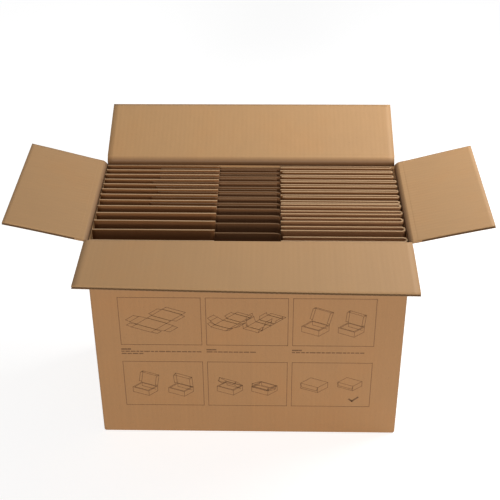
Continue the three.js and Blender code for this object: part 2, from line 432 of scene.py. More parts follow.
@dataclass(frozen=True)
class TapeFilm:
    """Tan packing tape: thin film with faint bubbles and lengthwise draw lines."""

    name: str
    colour: Colour

    LINES = (60.0, 2.0, (0.05, 6.0, 0.3))
    BUBBLES = (140.0, 2.0, EVEN)
    BUBBLE_EDGE = (0.62, 0.70)
    LINE_TONE = 0.12
    BUBBLE_TONE = 0.10
    LINE_HEIGHT = 0.5
    ROUGHNESS = 0.42
    LINE_ROUGHNESS = 0.1
    SPECULAR = 0.35
    RELIEF = 0.05 * MM

    def material(self) -> Material:
        """Build the film's material.

        Returns:
            The material.
        """
        graph = ShaderGraph.named(self.name)
        place = graph.place()
        lines = graph.noise(place, *self.LINES)
        bubbles = graph.step(graph.noise(place, *self.BUBBLES), *self.BUBBLE_EDGE)
        tone = 1.0 + (lines - 0.5) * self.LINE_TONE + bubbles * self.BUBBLE_TONE
        colour = graph.toned(self.colour, tone)
        height = lines * self.LINE_HEIGHT + bubbles
        roughness = self.ROUGHNESS + lines * self.LINE_ROUGHNESS
        return graph.finish(colour, roughness, self.SPECULAR, height, self.RELIEF)


@dataclass(frozen=True)
class PrintInk:
    """Thin brown print that lets the board's fibres through."""

    name: str
    colour: Colour
    board: Colour

    FIBRES = (520.0, 3.0, (1.0, 1.0, 0.4))
    WORN_EDGE = (0.52, 0.80)
    WORN = 0.55
    ROUGHNESS = 0.85
    SPECULAR = 0.2

    def material(self) -> Material:
        """Build the ink's material.

        Returns:
            The material.
        """
        graph = ShaderGraph.named(self.name)
        fibres = graph.noise(graph.place(), *self.FIBRES)
        worn = graph.step(fibres, *self.WORN_EDGE) * self.WORN
        colour = graph.mix(worn, rgba(self.colour), rgba(self.board))
        return graph.finish(colour, self.ROUGHNESS, self.SPECULAR)


# Meshes


def linked(name: str, data: bpy.types.ID) -> Piece:
    """Put a new object in the scene's collection.

    Args:
        name: its name.
        data: its mesh, camera or light.

    Returns:
        The object.
    """
    made = bpy.data.objects.new(name, data)
    bpy.context.scene.collection.objects.link(made)
    return made


@dataclass
class Shells:
    """Closed shells gathered for one piece: their points, four-cornered faces and parts."""

    points: list[Grid] = field(default_factory=list)
    faces: list[Grid] = field(default_factory=list)
    parts: list[Grid] = field(default_factory=list)
    smooth: list[Grid] = field(default_factory=list)
    count: int = 0

    def add(self, points: Grid, faces: Grid, parts: Grid, smooth: Grid) -> None:
        """Add one shell.

        Args:
            points: its points, n by 3.
            faces: its faces, m by 4.
            parts: the part of each face.
            smooth: whether each face is shaded smooth.
        """
        self.points.append(points)
        self.faces.append(faces + self.count)
        self.parts.append(parts)
        self.smooth.append(smooth)
        self.count += len(points)

    def add_sheet(self, upper: Grid, lower: Grid, sides: tuple[Part, Part, Part]) -> None:
        """Add the closed sheet between two grids of points.

        The upper grid's rows and columns turn right-handed seen from outside. The lower grid is
        the same shape on the other side, and a rim joins the two all round.

        Args:
            upper: points of one side, rows by columns by 3.
            lower: points of the other side.
            sides: the part of each side and of the rim.
        """
        rows, columns = upper.shape[:2]
        index = np.arange(rows * columns).reshape(rows, columns)
        top = np.stack([index[:-1, :-1], index[1:, :-1], index[1:, 1:], index[:-1, 1:]], -1)
        top = top.reshape(-1, 4)
        under = rows * columns
        bottom = top[:, ::-1] + under
        ring = np.concatenate([index[0, :-1], index[:-1, -1], index[-1, :0:-1], index[:0:-1, 0]])
        after = np.roll(ring, -1)
        rim = np.stack([ring, after, after + under, ring + under], -1)
        faces = np.concatenate([top, bottom, rim])
        sizes = (len(top), len(bottom), len(rim))
        parts = np.repeat([side.value for side in sides], sizes)
        smooth = np.repeat([True, True, False], sizes)
        points = np.concatenate([upper.reshape(-1, 3), lower.reshape(-1, 3)])
        self.add(points, faces, parts, smooth)

    def add_band(self, rings: Grid, around_parts: Grid | None = None) -> None:
        """Add a closed band: a ring of points carried through stations, with its ends filled.

        Args:
            rings: stations by ring points by 3. The ring is split across its middle into pairs, so
                it has an even count and its first half faces its second.
            around_parts: the part of each side of the ring, or nothing where all are the upper.
        """
        stations, around = rings.shape[:2]
        index = np.arange(stations * around).reshape(stations, around)
        after = np.roll(index, -1, axis=1)
        sides = np.stack([index[:-1], after[:-1], after[1:], index[1:]], -1).reshape(-1, 4)
        half = around // 2
        pairs = np.arange(half - 1)
        ladder = np.stack([pairs, around - 1 - pairs, around - 2 - pairs, pairs + 1], -1)
        first = index[0][ladder]
        last = index[-1][ladder][:, ::-1]
        faces = np.concatenate([sides, first, last])
        parts = np.zeros(len(faces), int)
        if around_parts is not None:
            parts[: len(sides)] = np.tile(around_parts, stations - 1)
        smooth = np.repeat([True, False], (len(sides), len(first) + len(last)))
        self.add(rings.reshape(-1, 3), faces, parts, smooth)

    def piece(self, name: str, materials: Sequence[Material]) -> Piece:
        """Make the object.

        Args:
            name: the piece's name.
            materials: the material of each part, in the order of Part.

        Returns:
            The object, at the origin.
        """
        faces = np.concatenate(self.faces)
        mesh = bpy.data.meshes.new(name)
        mesh.from_pydata(np.concatenate(self.points).tolist(), [], faces.tolist())
        mesh.polygons.foreach_set("material_index", np.concatenate(self.parts).astype(np.int32))
        mesh.polygons.foreach_set("use_smooth", np.concatenate(self.smooth))
        for material in materials:
            mesh.materials.append(material)
        mesh.update()
        return linked(name, mesh)


# Top flaps


@dataclass(frozen=True)
class FlapFrame:
    """A flap's own axes: x along its fold line, u out from it and v up from its outer face."""

    node: str
    outward: Colour

    @property
    def facts(self) -> dict:
        """The joint's entry in the frame."""
        return next(j for j in frame["joints"] if j["name"] == f"{self.node}_hinge")

    @property
    def rise(self) -> float:
        """The flap's angle above level, in radians: what its shut limit leaves of a half turn."""
        return math.radians(180.0 - self.facts["range_deg"][1])

    @property
    def width(self) -> float:
        """Length of the flap's fold line."""
        low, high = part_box(self.node)
        return (high.x - low.x) if self.outward[1] else (high.y - low.y)

    def place(self, x: Grid, out: Grid, up: Grid) -> Grid:
        """Points of the row frame from places along the fold, out from it and above it.

        Args:
            x: along the fold line, from its middle.
            out: level distance out from the fold line.
            up: height above the fold line.

        Returns:
            The points.
        """
        outward = np.array(self.outward)
        along = np.cross(outward, (0.0, 0.0, 1.0))
        origin = np.array(self.facts["pos_m"])
        level = x[..., None] * along + out[..., None] * outward
        return origin + level + up[..., None] * np.array((0.0, 0.0, 1.0))

    def tipped(self, x: Grid, u: Grid, v: Grid) -> Grid:
        """Points of the row frame from the flap's own x, u and v."""
        cosine, sine = math.cos(self.rise), math.sin(self.rise)
        return self.place(x, u * cosine - v * sine, u * sine + v * cosine)


@dataclass(frozen=True)
class TopFlap:
    """One top flap of fluted board, and the crease that carries it on the wall.

    The board is two facings and a fluted medium whose height is a sine of the place along the fold
    line. Twist, lean and bow bend them all alike. A long flap leans out by its twist, so that it
    clears the short flaps when it is shut.
    """

    axes: FlapFrame
    flutes: Flutes
    run: float
    twist_deg: float
    lean: float = 0.0
    bow: float = 0.0
    side_bow: float = 0.0

    ROOT = 5.0 * MM
    CREASE_REACH = 16.0 * MM
    SOFT_START = 0.15
    CREASE_DROP = 1.3 * MM
    CREASE_SWELL = 0.3
    CREASE_FOOT = 2.2 * BOARD
    CREASE_PLAY = 0.3 * MM
    CORNER = 0.2 * BOARD
    HOLD = 0.5 * MM
    PROUD = 0.09 * MM
    BITE = 0.04 * MM
    # Painted shade in the crease: its share where the curve starts, and how fast it fades up the
    # curve.
    SHADE = 0.7
    SHADE_POWER = 1.5
    LONG_STEPS = 20
    CROSS_STEPS = 48
    FLUTE_STEPS = 8
    CREASE_STEPS = 9
    WINDOW = 1.0 * MM

    @property
    def reach(self) -> float:
        """Distance from the fold line to the free edge."""
        low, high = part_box("carton_body")
        return (high.y - low.y) / 2 - SEAM_GAP / 2

    def bend(self, x: Grid, u: Grid) -> Grid:
        """How far the board stands above its flat form.

        The share along u starts softly, as its square over itself and a little more. A twist is
        the product of the shares along x and u, a lean is in step with the share along u, and the
        bows are square laws of the two shares.

        Args:
            x: places along the fold line.
            u: places out from it.

        Returns:
            The heights, in metres.
        """
        share = np.clip((u - self.CREASE_REACH) / (self.reach - self.CREASE_REACH), 0, 1)
        share = share**2 * (1 + self.SOFT_START) / (share + self.SOFT_START)
        across = x / (self.axes.width / 2)
        twist = share * self.reach * math.radians(self.twist_deg) * across
        bow = self.bow * share * (2 - share) + self.side_bow * share * (1 - across**2)
        return twist + self.lean * share + bow

    def board(self, materials: Sequence[Material]) -> Piece:
        """Build the fluted board.

        Each layer has a middle height, a swing of that height as a sine along x, a thickness,
        steps along x and the parts of its upper face, lower face and rim.

        Args:
            materials: inner facing, outer facing, cut edge and the hollows between them; the last
                two
            are darkened by painted shade.

        Returns:
            The piece.
        """
        width = self.axes.width
        medium_swing = (BOARD - 2 * LINER - MEDIUM) / 2 + self.BITE
        medium_steps = round(width / FLUTE_PITCH) * self.FLUTE_STEPS
        upper, lower, rim, hollow = Part.UPPER, Part.LOWER, Part.RIM, Part.HOLLOW
        layers = (
            (BOARD - LINER / 2, 0.0, LINER, self.CROSS_STEPS, (upper, hollow, rim)),
            (LINER / 2, 0.0, LINER, self.CROSS_STEPS, (hollow, lower, rim)),
            (BOARD / 2, medium_swing, MEDIUM, medium_steps, (hollow, hollow, rim)),
        )
        shells = Shells()
        out = np.linspace(self.ROOT, self.reach, self.LONG_STEPS + 1)
        for middle, swing, thick, steps, sides in layers:
            along = np.linspace(-width / 2, width / 2, steps + 1)
            x, u = np.meshgrid(along, out, indexing="ij")
            v = middle + swing * np.sin(2 * math.pi * x / FLUTE_PITCH) + self.bend(x, u)
            faces = (self.axes.tipped(x, u, v + side * thick / 2) for side in (1, -1))
            shells.add_sheet(*faces, sides)
        piece = shells.piece(self.axes.node.replace("_flap", "_flap_board"), materials)
        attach(piece, self.axes.node)
        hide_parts(self.axes.node)
        return piece

    def crease(self, materials: Sequence[Material]) -> Piece:
        """Build the bent board between the wall's top and the flap.

        Its section's inner side is a curve from the wall's inner face to the flap's inner face, and
        its outer side is the tight bend of the outer facing on the fold line.

        Args:
            materials: the inner facing, with painted shade by the fold value, and the outer facing.

        Returns:
            The piece.
        """
        rise, proud, foot = self.axes.rise, self.PROUD, -self.CREASE_FOOT
        turn = np.array([[math.cos(rise), -math.sin(rise)], [math.sin(rise), math.cos(rise)]])
        wall_in, skin, sunk = -BOARD - proud, BOARD + proud, BOARD - proud
        start = np.array([wall_in, -self.CREASE_DROP])
        end = turn @ np.array([self.run, skin])
        meeting = (wall_in + skin * math.sin(rise)) / math.cos(rise)
        middle = (start + end) / 2
        knee = middle + self.CREASE_SWELL * (turn @ np.array([meeting, skin]) - middle)
        t = np.linspace(0, 1, self.CREASE_STEPS)[:, None]
        curve = (1 - t) ** 2 * start + 2 * t * (1 - t) * knee + t**2 * end
        wall = np.array([[wall_in, foot], [wall_in, start[1] - self.HOLD]])
        last = self.CREASE_REACH
        tip = np.array([[self.run + self.HOLD, skin], [last - self.HOLD, sunk], [last, sunk]])
        inner = np.concatenate([wall, curve, tip @ turn.T])
        # Painted shade: the fold value is darkest at the wall's foot and fades out up the curve.
        shade = self.SHADE * (1 - t[:, 0] ** self.SHADE_POWER)
        count = len(inner)
        fold = np.concatenate([[1.0, self.SHADE], shade, np.zeros(len(tip) + count)])
        s = np.linspace(foot, last, count)
        below = np.stack([np.full(count, proud / 2), np.minimum(s, -self.CORNER)], -1)
        above = np.stack([np.maximum(s, self.CORNER), np.full(count, -proud / 2)], -1) @ turn.T
        outer = np.where((s < 0)[:, None], below, above)
        ring = np.concatenate([inner, outer[::-1]])
        half = self.axes.width / 2 - self.CREASE_PLAY
        stations = np.linspace(-half, half, self.CROSS_STEPS + 1)[:, None]
        shells = Shells()
        rings = self.axes.place(*np.broadcast_arrays(stations, *ring.T))
        shells.add_band(rings, np.arange(2 * count) >= count)
        piece = shells.piece(self.axes.node.replace("_flap", "_flap_crease"), materials)
        # The fold value holds how much painted shade each point of the crease gets.
        values = np.tile(fold, len(stations))
        piece.data.attributes.new("fold", "FLOAT", "POINT").data.foreach_set("value", values)
        window = np.array([self.WINDOW])
        start_point = self.axes.place(0 * window, -window, -window)[0]
        end_point = self.axes.place(0 * window, window, window)[0]
        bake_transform(piece)
        return piece


@dataclass(frozen=True)
class CornerFolds:
    """The four lower corners of the body, where the upright folds run into the bottom's folds.

    Each is a quarter of a round post that ends in an eighth of a ball. Its radius at a height
    under the ball's centre is the side of a right triangle on the fold's radius.
    """

    RADIUS = 3.97 * MM
    TOP = 9.0 * MM
    CENTRE = 4.3 * MM
    CORE = 0.9 * MM
    CORE_RADIUS = 0.02 * MM
    LAST_ANGLE = math.pi / 2 - 0.08
    STEPS = 9

    def corner(self, x: float, y: float) -> Grid:
        """The rings of one corner.

        Args:
            x: place of the fold's centre.
            y: place of the fold's centre.

        Returns:
            Rings of points from the top down, or up where that keeps the faces outward.
        """
        fall = np.linspace(0.0, self.LAST_ANGLE, self.STEPS)
        heights = np.concatenate([[self.TOP], self.CENTRE - self.RADIUS * np.sin(fall)])
        radii = np.concatenate([[self.RADIUS], self.RADIUS * np.cos(fall)])
        angle = np.linspace(0.0, math.pi / 2, self.STEPS)
        arc = np.stack([np.cos(angle), np.sin(angle)], -1)
        outer = radii[:, None, None] * arc[None]
        inner = np.broadcast_to(self.CORE_RADIUS * arc[::-1] - self.CORE, outer.shape)
        plan = np.concatenate([outer, inner], 1) * np.sign([x, y]) + np.array([x, y])
        tall = np.broadcast_to(heights[:, None, None], (*plan.shape[:2], 1))
        rings = np.concatenate([plan, tall], -1)
        return rings[::-1] if x * y > 0 else rings

    def piece(self, material: Material) -> Piece:
        """Build the corners as one piece.

        Args:
            material: the body's facing.

        Returns:
            The piece.
        """
        _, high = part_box("carton_body")
        shells = Shells()
        for x in (-1, 1):
            for y in (-1, 1):
                shells.add_band(self.corner(x * (high.x - BOARD), y * (high.y - BOARD)))
        piece = shells.piece("corner_folds", [material])
        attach(piece, "carton")
        return piece


# Mailer blanks


@dataclass(frozen=True)
class Panel:
    """One upright panel of a blank.

    Its path in plan, how far its ends are cut back, how far its upper end falls along the path,
    whether its edge is darkened by painted shade and the part that gives its faces their finish.
    """

    plan: Grid
    cut: float = 0.0
    tilt: float = 0.0
    # Whether the edge is darkened by painted shade, where the panel is set in.
    recess_shade: bool = False
    face: Part = Part.UPPER


@dataclass(frozen=True)
class MailerBlank:
    """A folded mailer blank on edge: lid, spine and base in one run, front panel turned back.

    Slots part the panels' side flaps down to the creases, and the spine's ends are set in. Blanks
    at the rear of the pack have a second leaf of side flaps folded against the lid and spine.
    """

    number: int
    rng: np.random.Generator

    LID = 201.0 * MM
    SPINE = 107.0 * MM
    SLOT = 0.3 * MM
    SLOT_DEPTH = 96.0 * MM
    SPINE_CUT = 4.6 * MM
    HEADROOM = 1.2 * MM
    TURNED_FROM = 8
    LEAF_GAP = 0.35 * MM
    LEAF_END = 6.0 * MM
    HOOK_FROM = 6
    HOOK_RUN = 14.0 * MM
    ROW_STEPS = 10
    BEND_STEPS = 10
    ALONG = 24

    # Spans of what differs from blank to blank, in millimetres
    TOP_FALL = (0.0, 0.6)
    LID_TILT = (-0.2, 0.9)
    LID_BOW = (-0.7, 0.7)
    SPINE_PLAY = (-1.0, 1.5)
    LID_PLAY = (0.0, 1.2)
    TURN_PLAY = (0.0, 1.6)
    HOOK = (1.5, 3.0)
    BASE_STOP = (0.5, 4.0)
    LEAF_START = (84.0, 98.0)
    LEAF_CUT = (2.2, 3.6)
    INNER_CUT = (1.0, 2.5)

    def some(self, span: tuple[float, float]) -> float:
        """A length drawn from a span."""
        return self.rng.uniform(*span) * MM

    def add_panel(self, shells: Shells, panel: Panel, low: float, high: float) -> None:
        """Add a panel: its path in plan, thickened to the board and carried up.

        The two faces are the path moved by half the board along its normals. The upper end falls
        along the path by the panel's tilt.

        Args:
            shells: where it goes.
            panel: the panel.
            low: height of the blank's lower end.
            high: height of its upper end.
        """
        plan = panel.plan
        ahead = np.gradient(plan, axis=0)
        ahead /= np.linalg.norm(ahead, axis=1)[:, None]
        normal = np.stack([-ahead[:, 1], ahead[:, 0]], -1)
        share = np.linspace(0, 1, self.ROW_STEPS + 1)
        bottom = low + panel.cut
        ends = high - panel.cut - panel.tilt * np.linspace(0, 1, len(plan))
        tall = bottom + share[None, :] * (ends - bottom)[:, None]

        def carried(path: Grid) -> Grid:
            """The path at each height."""
            flat = np.broadcast_to(path[:, None, :], (len(path), len(share), 2))
            return np.concatenate([flat, tall[..., None]], -1)

        half = MAILER_BOARD / 2
        # Set-in panels' edges get the painted shade edge material.
        rim = Part.RECESS_SHADE_RIM if panel.recess_shade else Part.RIM
        faces = carried(plan - normal * half), carried(plan + normal * half)
        shells.add_sheet(*faces, (panel.face, panel.face, rim))

    def line(self, start: float, end: float, y: float, bow: float = 0.0, hook: float = 0.0) -> Grid:
        """A path along X, bowed as a half sine, and hooked at its end as a square law.

        Args:
            start: where it starts along X.
            end: where it ends.
            y: its place along Y.
            bow: how far its middle is from there.
            hook: how far its end turns to the front.

        Returns:
            The path.
        """
        x = np.linspace(start, end, self.ALONG)
        last = np.clip((x - end) / self.HOOK_RUN + 1, 0, 1)
        y = y + bow * np.sin(np.linspace(0, math.pi, self.ALONG)) - hook * last**2
        return np.stack([x, y], -1)

    def base(self, start: float, right_end: float, main_y: float, spacing: float) -> Grid:
        """The base's path: along the main line, round the turn and back to the spine.

        The turn is half a circle whose width is the spacing of the two leaves.

        Args:
            start: where the base starts.
            right_end: outermost place of the turn.
            main_y: the main line's place along Y.
            spacing: where the turned leaf is from the main line, signed.

        Returns:
            The path.
        """
        radius = abs(spacing) / 2
        turn_x = right_end - MAILER_BOARD / 2 - radius
        angle = np.linspace(-math.pi / 2, math.pi / 2, self.BEND_STEPS + 1)
        bend_y = main_y + spacing / 2 * (1 + np.sin(angle))
        bend = np.stack([turn_x + radius * np.cos(angle), bend_y], -1)
        out = self.line(start, turn_x, main_y)
        stop = start + self.some(self.BASE_STOP)
        back = self.line(turn_x, stop, main_y + spacing)
        return np.concatenate([out[:-1], bend, back[1:]])

    def piece(self, materials: Sequence[Material]) -> Piece:
        """Build the blank.

        Args:
            materials: the plain faces, the turned base's, the cut edge, and the spine's faces and
                the
            set-in edges, both darkened by painted shade.

        Returns:
            The piece.
        """
        node = f"mailer_{self.number:02d}"
        low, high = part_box(node)
        turned = self.number > self.TURNED_FROM
        half, slot = MAILER_BOARD / 2, self.SLOT / 2
        main_y = low.y + half if turned else high.y - half
        spacing = (high.y - low.y - MAILER_BOARD) * (1.0 if turned else -1.0)
        spine_left = low.x + self.LID
        spine_right = spine_left + self.SPINE
        top, bottom = high.z + self.HEADROOM - self.some(self.TOP_FALL), low.z
        tilt = self.some(self.LID_TILT)
        bow = self.some(self.LID_BOW)
        cut = self.SPINE_CUT + self.some(self.SPINE_PLAY)
        lid_start = low.x + self.some(self.LID_PLAY)
        right_end = high.x - self.some(self.TURN_PLAY)
        hook = self.some(self.HOOK) if self.number >= self.HOOK_FROM else 0.0
        spine = self.line(spine_left + slot, spine_right - slot, main_y, hook=hook)
        panels = [
            Panel(self.line(lid_start, spine_left - slot, main_y, bow), 0.0, tilt),
            # The set-in spine: faces and edge darkened by painted shade.
            Panel(spine, cut, 0.0, True, Part.HOLLOW),
            Panel(
                self.base(spine_right + slot, right_end, main_y, spacing),
                face=Part.LOWER if turned else Part.UPPER,
            ),
        ]
        for crease_x in (spine_left, spine_right):
            reach = slot + half
            strip = self.line(crease_x - reach, crease_x + reach, main_y)
            panels.append(Panel(strip, self.SLOT_DEPTH))
        if not turned:
            leaf_y = main_y - MAILER_BOARD - self.LEAF_GAP - max(bow, 0.0)
            start = lid_start + self.some(self.LEAF_START)
            leaf = self.line(start, spine_left - slot, leaf_y, min(bow, 0.0))
            # The second leaf's edge is darkened by painted shade.
            panels.append(Panel(leaf, self.some(self.LEAF_CUT), tilt, True))
            # The inner leaf: faces and edge darkened by painted shade.
            inner = self.line(spine_left + slot, spine_right - self.LEAF_END, leaf_y)
            inner_cut = cut + self.some(self.INNER_CUT)
            panels.append(Panel(inner, inner_cut, 0.0, True, Part.HOLLOW))
        shells = Shells()
        for panel in panels:
            self.add_panel(shells, panel, bottom, top)
        piece = shells.piece(f"blank_{self.number:02d}", materials)
        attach(piece, "carton")
        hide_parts(node)
        return piece


# Print


@dataclass(frozen=True)
class Stroke:
    """A printed line: its two ends in millimetres from a frame's lower left corner."""

    start: Place
    end: Place
    width: float


class Picture:
    """A line picture of a plain folding mailer, in millimetres inside its frame.

    A point in space has a width, a depth and a height. Width is drawn to the right and down,
    depth to the right and up, and height straight up.
    """

    WIDTH_STEP = (0.80, -0.27)
    DEPTH_STEP = (0.62, 0.44)
    HEIGHT_STEP = (0.0, 0.92)
    LINE = 0.75
    BOLD_LINE = 3.0
    TICK = ((-0.45, 0.40), (0.0, 0.0), (0.95, 0.85))
    PANELS = ((-0.35, 0), (0, 0.75), (0.75, 1.05), (1.05, 1.8), (1.8, 2.05))
    WINGS = ((-0.33, -0.02, 0.3), (0.02, 0.73, 0.38), (1.1, 1.75, 0.2))
    DOUBLE_WING = 0.35
    FOLDED_WING = 0.26
    DEPTH = 0.75
    HEIGHT = 0.34
    TAB = 0.22

    def __init__(self) -> None:
        """Start with no lines."""
        self.strokes: list[Stroke] = []

    def path(self, points: Sequence[Place], closed: bool = False, width: float = LINE) -> None:
        """Add a path of straight lines."""
        ends = list(points) + ([points[0]] if closed else [])
        self.strokes += [Stroke(a, b, width) for a, b in zip(ends[:-1], ends[1:])]

    def solid(
        self, at: Place, size: float, points: Sequence[Colour], closed: bool = False
    ) -> None:
        """Add a path of points in space.

        Args:
            at: where the space's origin falls, in millimetres.
            size: millimetres for one unit of space.
            points: width, depth and height of each point.
            closed: whether the path ends where it starts.
        """
        steps = np.array((self.WIDTH_STEP, self.DEPTH_STEP, self.HEIGHT_STEP))
        flat = np.array(at) + size * (np.array(points) @ steps)
        self.path(flat.tolist(), closed)

    def blank(self, at: Place, size: float, raised_deg: float) -> None:
        """A mailer's blank with its side panels raised by an angle.

        Its panels run from front to back. Each wing has its front, its back and its width, and
        the wide ones have a second panel at their end.

        Args:
            at: where its front left corner falls, in millimetres.
            size: millimetres for the width of its base.
            raised_deg: angle of the side panels above level.
        """
        draw = partial(self.solid, at, size)
        reach, rise = math.cos(math.radians(raised_deg)), math.sin(math.radians(raised_deg))
        for front, back in self.PANELS:
            draw([(0, front, 0), (1, front, 0), (1, back, 0), (0, back, 0)], True)
        for edge, sign in ((0, -1), (1, 1)):
            for front, back, wing in self.WINGS:
                far, up = edge + sign * wing * reach, wing * rise
                outer = [(edge, front, 0), (far, front + 0.03, up), (far, back - 0.03, up)]
                draw(outer + [(edge, back, 0)])
                if wing > self.DOUBLE_WING:
                    over, end = far + sign * self.FOLDED_WING * reach, up + self.FOLDED_WING * rise
                    ends = [(far, front + 0.05, up), (over, front + 0.09, end)]
                    draw(ends + [(over, back - 0.09, end), (far, back - 0.05, up)])

    def mailer(self, at: Place, size: float, lid_deg: float) -> None:
        """An erected mailer with its lid at an angle from shut.

        Args:
            at: where its front left lower corner falls, in millimetres.
            size: millimetres for its width.
            lid_deg: the lid's angle, 0 when shut.
        """
        draw = partial(self.solid, at, size)
        depth, high, tab = self.DEPTH, self.HEIGHT, self.TAB
        draw([(0, 0, high), (1, 0, high), (1, depth, high), (0, depth, high)], True)
        draw([(0, 0, 0), (1, 0, 0), (1, depth, 0)])
        for w, d in ((0, 0), (1, 0), (1, depth)):
            draw([(w, d, 0), (w, d, high)])
        if lid_deg <= 0:
            draw([(0, 0, high), (0.06, 0, 0.1), (0.94, 0, 0.1), (1, 0, high)])
            return
        cosine, sine = math.cos(math.radians(lid_deg)), math.sin(math.radians(lid_deg))

        def lid(*places: Colour) -> None:
            """Draw a path on the lid from places across, out from its hinge and down from it."""
            draw(
                [
                    (w, depth - out * cosine - down * sine, high + out * sine - down * cosine)
                    for w, out, down in places
                ]
            )

        lid((0, 0, 0), (0, depth, 0), (1, depth, 0), (1, 0, 0))
        lid((0, depth, 0), (0.05, depth, tab), (0.95, depth, tab), (1, depth, 0))
        for w in (0, 1):
            lid((w, 0.06, 0), (w, 0.14, tab), (w, depth - 0.06, tab), (w, depth - 0.02, 0))
        inner = [(0.07, 0.06, high), (0.93, 0.06, high), (0.93, depth - 0.05, high)]
        draw(inner + [(0.07, depth - 0.05, high)], True)
        draw([(0.07, depth - 0.05, high), (0.07, depth - 0.05, 0.12)])
        draw([(0.07, depth - 0.05, 0.12), (0.93, depth - 0.05, 0.12)])

    def tick(self, at: Place, size: float) -> None:
        """A bold tick whose lower corner is at a place."""
        ends = np.array(at) + size * np.array(self.TICK)
        self.path(ends.tolist(), width=self.BOLD_LINE)


def step_pictures() -> list[Picture]:
    """The six pictures of folding a plain mailer, in reading order.

    Each thing in a picture is a kind with its place and size in millimetres and its angle.

    Returns:
        The pictures.
    """
    blank, mailer = Picture.blank, Picture.mailer
    scenes = (
        ((blank, (29, 44), 40, 0),),
        ((blank, (15, 44), 30, 25), (blank, (69, 41), 31, 75)),
        ((mailer, (15, 31), 36, 112), (mailer, (76, 29), 34, 98)),
        ((mailer, (14, 31), 34, 104), (mailer, (76, 30), 34, 84)),
        ((mailer, (16, 34), 35, 44), (mailer, (76, 34), 35, 15)),
        ((mailer, (16, 42), 37, 0), (mailer, (80, 46), 33, 0)),
    )
    pictures = []
    for scene in scenes:
        pictures.append(Picture())
        for kind, at, size, angle_deg in scene:
            kind(pictures[-1], at, size, angle_deg)
    pictures[-1].tick((106, 13), 10.5)
    return pictures


@dataclass(frozen=True)
class PrintedStep:
    """One printed frame with its line picture, and the dashes of its caption under it.

    The caption gives each row's share of the frame's width.
    """

    number: int
    picture: Picture
    caption: tuple[float, ...]
    rng: np.random.Generator

    FRAME_LINE = 0.9
    HEADING = ((1.0, 9.0), (12.0, 15.0))
    HEADING_LINE = 2.7
    TEXT_LINE = 2.0
    FIRST_ROW = 14.5
    ROW = 4.8
    ROW_START = 0.6
    WORD = (2.5, 8.5)
    WORD_GAP = 1.6
    INK = 0.15 * MM
    SUNK = 0.02 * MM
    BAR = ((0, 1, 2, 3), (7, 6, 5, 4), (0, 4, 5, 1), (1, 5, 6, 2), (2, 6, 7, 3), (3, 7, 4, 0))

    def add_strokes(self, shells: Shells, strokes: Sequence[Stroke], corner: Colour) -> None:
        """Add straight strokes: a thin bar on the wall along each.

        A bar's corners are its ends moved by half its width along the line and square to it.

        Args:
            shells: where they go.
            strokes: the strokes.
            corner: the frame's lower left corner on the wall.
        """
        ends = np.array([(stroke.start, stroke.end) for stroke in strokes]) * MM
        half = np.array([stroke.width for stroke in strokes])[:, None] * MM / 2
        along = ends[:, 1] - ends[:, 0]
        along = along / np.maximum(np.linalg.norm(along, axis=1), 1e-9)[:, None] * half
        square = np.stack([-along[:, 1], along[:, 0]], -1)
        first, last = ends[:, 0] - along, ends[:, 1] + along
        corners = np.stack([first - square, last - square, last + square, first + square], 1)
        corners = corners + np.array([corner[0], corner[2]])
        count = len(ends)

        def at(y: float) -> Grid:
            """The corners at one place along Y."""
            depth = np.full((count, 4, 1), y)
            return np.concatenate([corners[..., :1], depth, corners[..., 1:]], -1)

        layers = [at(corner[1] - self.INK), at(corner[1] + self.SUNK)]
        points = np.concatenate(layers, 1).reshape(-1, 3)
        faces = (np.array(self.BAR) + 8 * np.arange(count)[:, None, None]).reshape(-1, 4)
        shells.add(points, faces, np.zeros(len(faces), int), np.zeros(len(faces), bool))

    def words(self, share: float, width: float, height: float) -> list[Stroke]:
        """A row of dashes of word length.

        Args:
            share: how much of the frame's width the row takes.
            width: the frame's width in millimetres.
            height: the row's height above the frame's lower edge.

        Returns:
            The strokes.
        """
        marks, start = [], self.ROW_START
        while start < share * width:
            length = min(self.rng.uniform(*self.WORD), max(share * width - start, self.WORD_GAP))
            marks.append(Stroke((start, height), (start + length, height), self.TEXT_LINE))
            start += length + self.WORD_GAP + self.TEXT_LINE
        return marks

    def piece(self, material: Material) -> Piece:
        """Build the print.

        Args:
            material: the ink.

        Returns:
            The piece.
        """
        node = f"printed_frame_{self.number}"
        low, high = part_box(node)
        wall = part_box("carton_body")[0].y
        width, height = (high.x - low.x) / MM, (high.z - low.z) / MM
        edge = self.FRAME_LINE / 2
        right, top = width - edge, height - edge
        border = Picture()
        border.path([(edge, edge), (right, edge), (right, top), (edge, top)], True, 2 * edge)
        strokes = border.strokes + self.picture.strokes
        if self.caption:
            row = self.ROW - self.FIRST_ROW
            strokes += [Stroke((a, row), (b, row), self.HEADING_LINE) for a, b in self.HEADING]
        for row, share in enumerate(self.caption):
            strokes += self.words(share, width, -self.FIRST_ROW - row * self.ROW)
        shells = Shells()
        self.add_strokes(shells, strokes, (low.x, wall, low.z))
        piece = shells.piece(f"print_step_{self.number}", [material])
        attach(piece, "carton")
        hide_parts(node)
        return piece


# Stage


